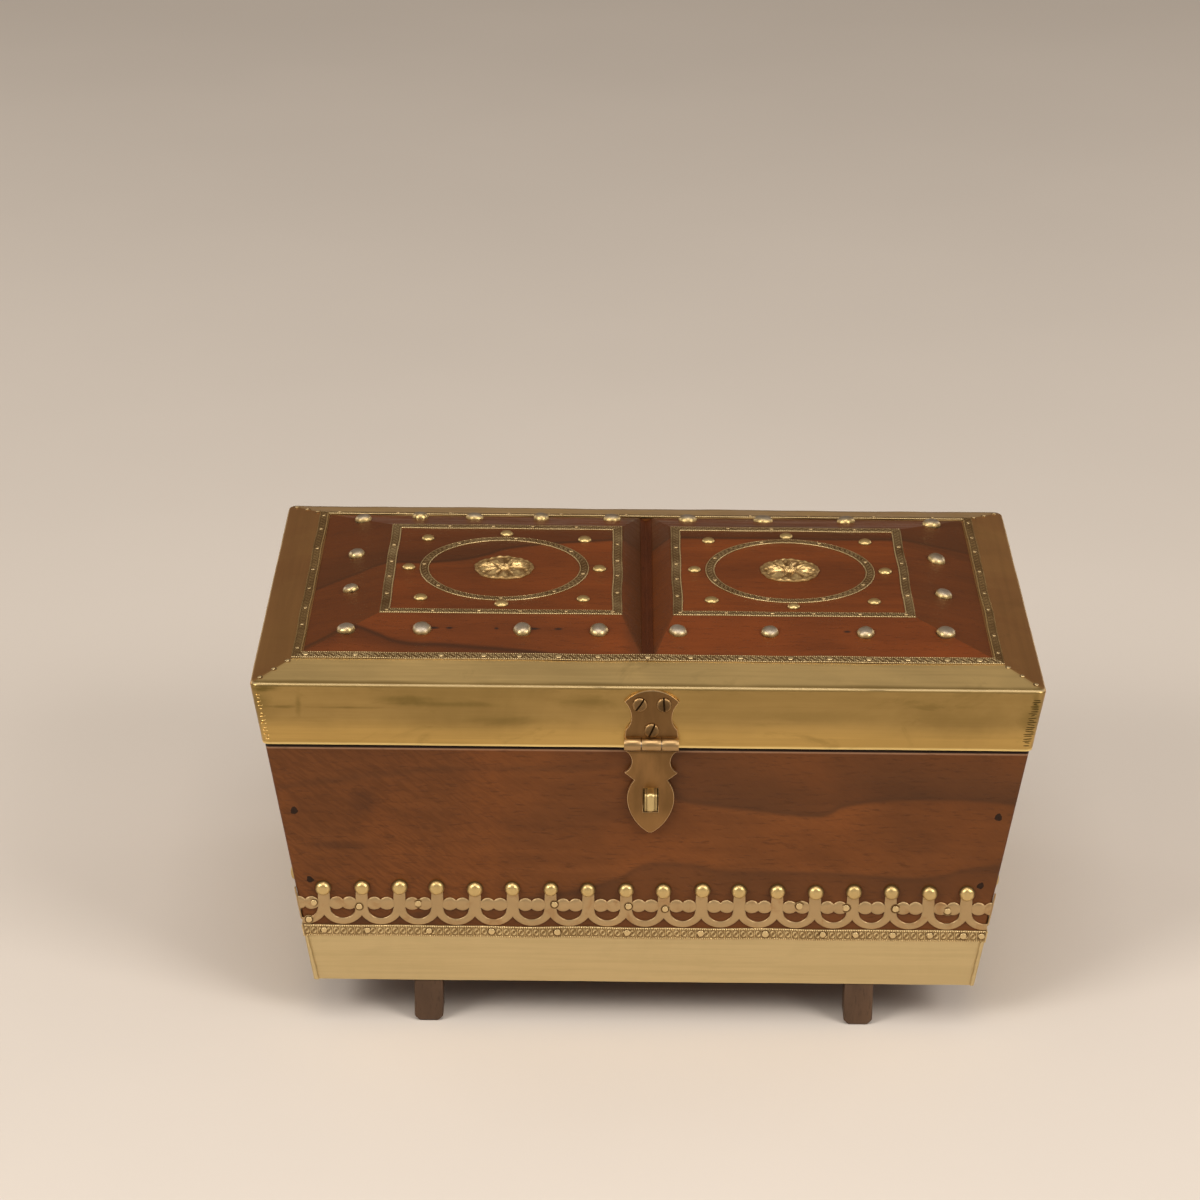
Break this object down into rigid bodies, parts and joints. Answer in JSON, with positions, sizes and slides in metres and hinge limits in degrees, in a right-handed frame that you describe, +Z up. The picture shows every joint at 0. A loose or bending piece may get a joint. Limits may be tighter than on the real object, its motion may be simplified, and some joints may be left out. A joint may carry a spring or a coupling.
{
  "type": "dowry chest",
  "caption": "Small wooden dowry chest with leaning ends, two raised lid panels in a brass frame, pierced brass bands, dome nails, and a hasp with a staple",
  "frame": {"origin": "on the floor, below the middle of the chest's overall box", "axes": "+X along the chest to its right end, +Y to its back, +Z up"},
  "size_m": [0.3046, 0.199, 0.1576],
  "materials": {
    "case_wood": "satin",
    "panel_wood": "gloss",
    "foot_wood": "matte",
    "iron": "matte",
    "skirt_brass": "satin",
    "embossed_brass": "satin",
    "band_brass": "matte",
    "lid_brass": "satin",
    "bright_brass": "gloss",
    "hasp_bronze": "satin",
    "steel": "satin",
    "nail_nickel": "satin"
  },
  "bodies": {
    "case": {"front_board": "case_wood", "back_board": "case_wood", "left_end_board": "case_wood", "right_end_board": "case_wood", "bottom_board": "case_wood", "foot_front_left": "foot_wood", "foot_front_right": "foot_wood", "foot_back_left": "foot_wood", "foot_back_right": "foot_wood", "board_nails": "iron", "skirt_front": "skirt_brass", "skirt_back": "skirt_brass", "skirt_left": "skirt_brass", "skirt_right": "skirt_brass", "skirt_strip_front": "embossed_brass", "skirt_strip_back": "embossed_brass", "skirt_strip_left": "embossed_brass", "skirt_strip_right": "embossed_brass", "band_front": "band_brass", "band_left": "band_brass", "band_right": "band_brass", "crest_nails": "bright_brass", "hinge_case_leaf_left": "bright_brass", "hinge_case_leaf_right": "bright_brass", "hinge_pin_left": "steel", "hinge_pin_right": "steel", "staple": "bright_brass"},
    "lid": {"lid_rail_front": "case_wood", "lid_rail_back": "case_wood", "lid_rail_left": "case_wood", "lid_rail_right": "case_wood", "lid_brass_front": "lid_brass", "lid_brass_back": "lid_brass", "lid_brass_left": "lid_brass", "lid_brass_right": "lid_brass", "lid_strip_front": "embossed_brass", "lid_strip_back": "embossed_brass", "lid_strip_left": "embossed_brass", "lid_strip_right": "embossed_brass", "lid_panel_left": "panel_wood", "lid_panel_right": "panel_wood", "lid_muntin": "case_wood", "square_frame_left": "embossed_brass", "square_frame_right": "embossed_brass", "ring_strip_left": "embossed_brass", "ring_strip_right": "embossed_brass", "rosette_left": "bright_brass", "rosette_right": "bright_brass", "bevel_nails": "nail_nickel", "field_nails": "bright_brass", "hinge_lid_leaf_left": "bright_brass", "hinge_lid_leaf_right": "bright_brass", "hasp_plate": "hasp_bronze", "hasp_pin": "steel", "hasp_screws": "hasp_bronze"},
    "hasp": {"hasp_leaf": "hasp_bronze"}
  },
  "joints": [
    {"name": "lid_open", "type": "hinge", "parent": "case", "child": "lid", "pos_m": [0, 0.09703, 0.11995], "axis": [-1, 0, 0], "range_deg": [0, 100]},
    {"name": "hasp_swing", "type": "hinge", "parent": "lid", "child": "hasp", "pos_m": [0.0016, -0.09498, 0.1226], "axis": [-1, 0, 0], "range_deg": [0, 180]}
  ]
}
